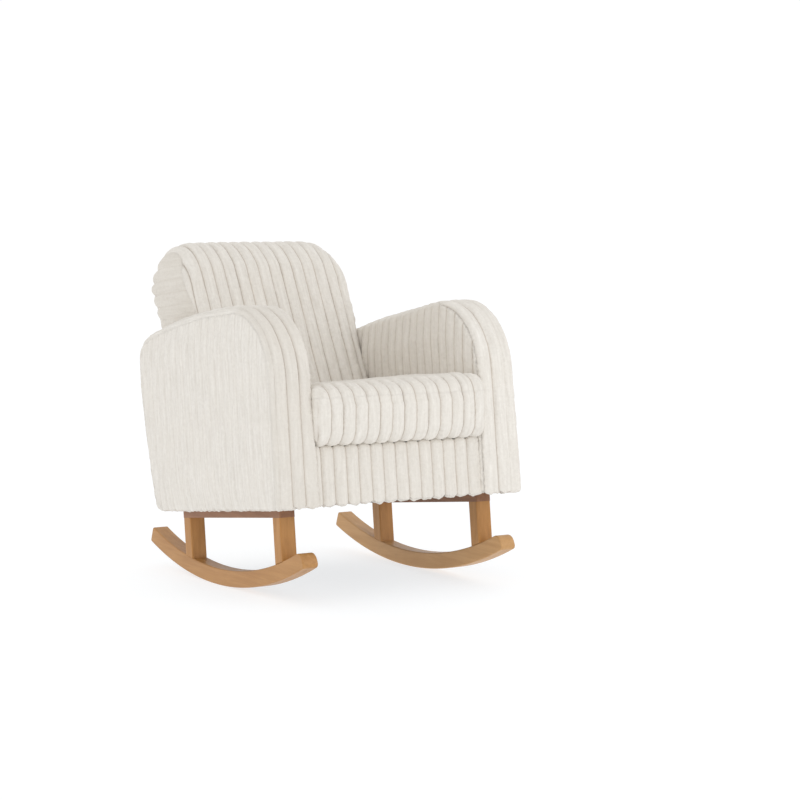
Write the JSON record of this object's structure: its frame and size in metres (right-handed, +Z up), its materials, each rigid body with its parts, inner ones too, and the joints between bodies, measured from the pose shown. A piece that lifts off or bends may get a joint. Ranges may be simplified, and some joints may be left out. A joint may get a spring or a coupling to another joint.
{
  "type": "rocking chair",
  "caption": "Low upholstered nursery rocking chair with ribbed plush cover, rounded arms and a loose seat cushion, on two bent-wood runners.",
  "frame": {"origin": "middle of the footprint, on the floor", "axes": "+Z up, the chair faces -Y, +X to the right as seen from the front; leaned back as it rests"},
  "size_m": [0.644, 0.8506, 0.7815],
  "materials": {
    "plush": "deep ribbed plush, short silky pile",
    "oiled_beech": "satin lacquered beech, honey coloured",
    "dowel_beech": "bare beech",
    "plywood": "bare plywood",
    "frame_timber": "bare sawn timber",
    "foam": "open-cell foam",
    "lining_cloth": "black non-woven cloth",
    "elastic_webbing": "woven elastic webbing",
    "spring_steel": "oiled spring wire",
    "zinc_steel": "zinc plated"
  },
  "bodies": {
    "chair": {"arm_bolts": "zinc_steel", "arm_cover_left": "plush", "arm_cover_right": "plush", "arm_front_block_left": "frame_timber", "arm_front_block_right": "frame_timber", "arm_inner_board_left": "plywood", "arm_inner_board_right": "plywood", "arm_outer_board_left": "plywood", "arm_outer_board_right": "plywood", "arm_padding_left": "foam", "arm_padding_right": "foam", "arm_rear_block_left": "frame_timber", "arm_rear_block_right": "frame_timber", "arm_sill_left": "frame_timber", "arm_sill_right": "frame_timber", "arm_top_block_left": "frame_timber", "arm_top_block_right": "frame_timber", "back_cover": "plush", "back_frame_screws": "zinc_steel", "back_lower_rail": "frame_timber", "back_padding": "foam", "back_top_rail": "frame_timber", "back_upright_left": "frame_timber", "back_upright_right": "frame_timber", "back_webbing": "elastic_webbing", "base_bolts": "zinc_steel", "base_rail_left": "oiled_beech", "base_rail_right": "oiled_beech", "corner_blocks": "frame_timber", "corner_screws": "zinc_steel", "deck_cloth": "lining_cloth", "dust_cover": "lining_cloth", "dust_cover_staples": "zinc_steel", "front_panel_cover": "plush", "front_panel_padding": "foam", "front_post_left": "oiled_beech", "front_post_right": "oiled_beech", "post_dowels": "dowel_beech", "rear_panel": "plush", "rear_post_left": "oiled_beech", "rear_post_right": "oiled_beech", "runner_left": "oiled_beech", "runner_right": "oiled_beech", "seat_front_rail": "frame_timber", "seat_rear_rail": "frame_timber", "seat_side_rail_left": "frame_timber", "seat_side_rail_right": "frame_timber", "seat_springs": "spring_steel", "spring_clips": "spring_steel", "tee_nuts": "zinc_steel", "washers": "zinc_steel"},
    "cushion": {"seat_cushion_cover": "plush", "seat_cushion_core": "foam"}
  },
  "joints": [
    {"name": "cushion_lift", "type": "slide", "parent": "chair", "child": "cushion", "axis": [0, 0.1132, 0.9936], "range_m": [0, 0.52]}
  ]
}
